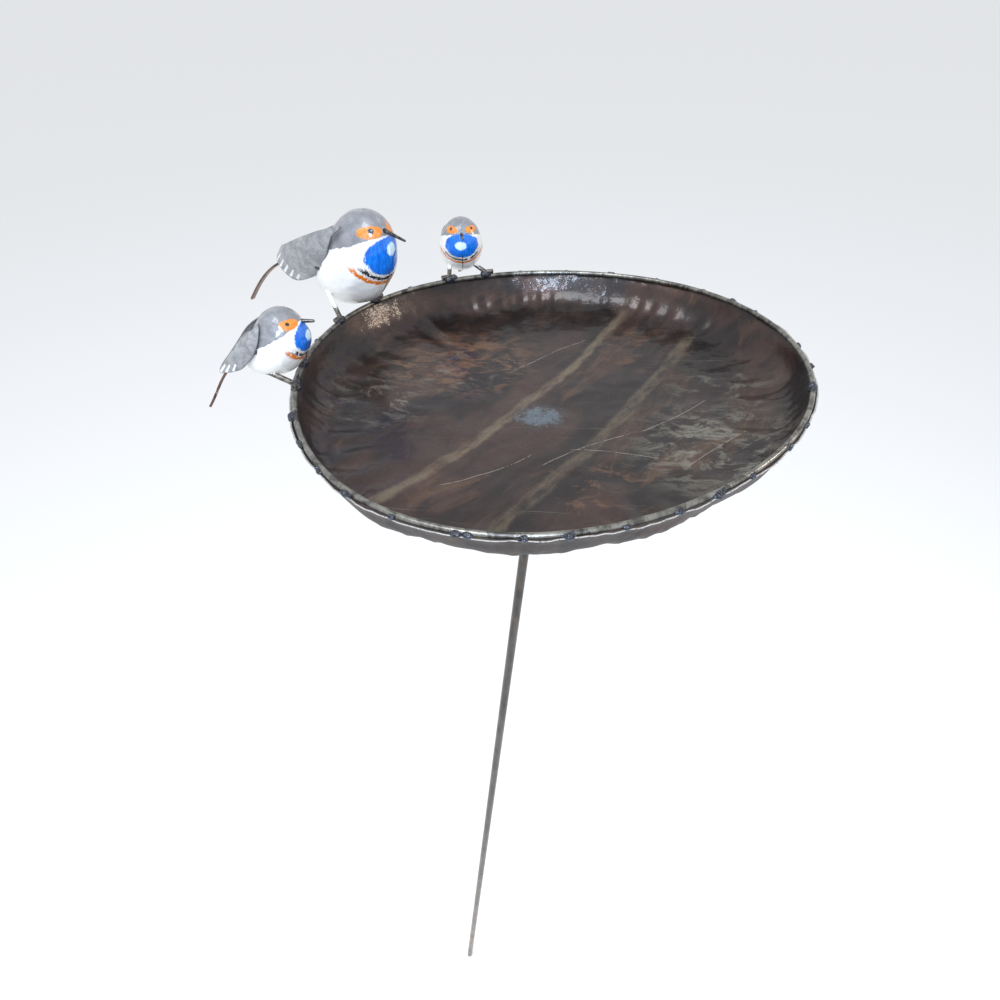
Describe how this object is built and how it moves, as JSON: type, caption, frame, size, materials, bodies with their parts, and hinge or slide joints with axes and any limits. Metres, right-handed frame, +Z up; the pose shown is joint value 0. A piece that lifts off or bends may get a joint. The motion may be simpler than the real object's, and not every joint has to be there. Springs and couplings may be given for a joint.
{
  "type": "bird bath",
  "caption": "Hand-beaten round steel dish with a bar rim on a single straight ground stake, with painted sheet-metal birds perched on the rim.",
  "frame": {"origin": "on the stake's centre line where it enters the ground", "axes": "+Z up, square to the level rim of the dish; +X and +Y level, with the birds round the rim on the -X and +Y sides"},
  "size_m": [0.4332, 0.3755, 1.2953],
  "materials": {
    "dish_steel": "dark brown lacquered reclaimed drum steel with scuffs, pale streaks and a blue heat mark",
    "hoop_bar": "bare round bar under clear lacquer, lightly worn",
    "stake_bar": "dark mill-scale bar, paler and rubbed towards the tip",
    "weld_metal": "dark blue-grey weld metal with small bright spots",
    "bird_body_paint": "gloss hand paint: grey back, white belly, blue throat, orange and black bands, orange eye patches",
    "bird_wing_paint": "grey hand paint with white feather strokes",
    "bird_tail_steel": "bare brown steel strip",
    "bird_beak": "dark bare steel with paint at its root",
    "bird_leg": "white paint above, bare dark bar below"
  },
  "bodies": {
    "root": {"dish": "dish_steel", "rim_hoop": "hoop_bar", "hoop_joint_weld": "weld_metal", "rim_tack_welds": "weld_metal", "stake": "stake_bar", "stake_weld": "weld_metal", "large_bird_body_left": "bird_body_paint", "large_bird_body_right": "bird_body_paint", "large_bird_wing_left": "bird_wing_paint", "large_bird_wing_right": "bird_wing_paint", "large_bird_wing_welds": "weld_metal", "large_bird_tail": "bird_tail_steel", "large_bird_beak": "bird_beak", "large_bird_leg_left": "bird_leg", "large_bird_leg_right": "bird_leg", "large_bird_foot_welds": "weld_metal", "left_bird_body_left": "bird_body_paint", "left_bird_body_right": "bird_body_paint", "left_bird_wing_left": "bird_wing_paint", "left_bird_wing_right": "bird_wing_paint", "left_bird_wing_welds": "weld_metal", "left_bird_tail": "bird_tail_steel", "left_bird_beak": "bird_beak", "left_bird_leg_left": "bird_leg", "left_bird_leg_right": "bird_leg", "left_bird_foot_welds": "weld_metal", "back_bird_body_left": "bird_body_paint", "back_bird_body_right": "bird_body_paint", "back_bird_wing_left": "bird_wing_paint", "back_bird_wing_right": "bird_wing_paint", "back_bird_wing_welds": "weld_metal", "back_bird_tail": "bird_tail_steel", "back_bird_beak": "bird_beak", "back_bird_leg_left": "bird_leg", "back_bird_leg_right": "bird_leg", "back_bird_foot_welds": "weld_metal"}
  },
  "joints": []
}
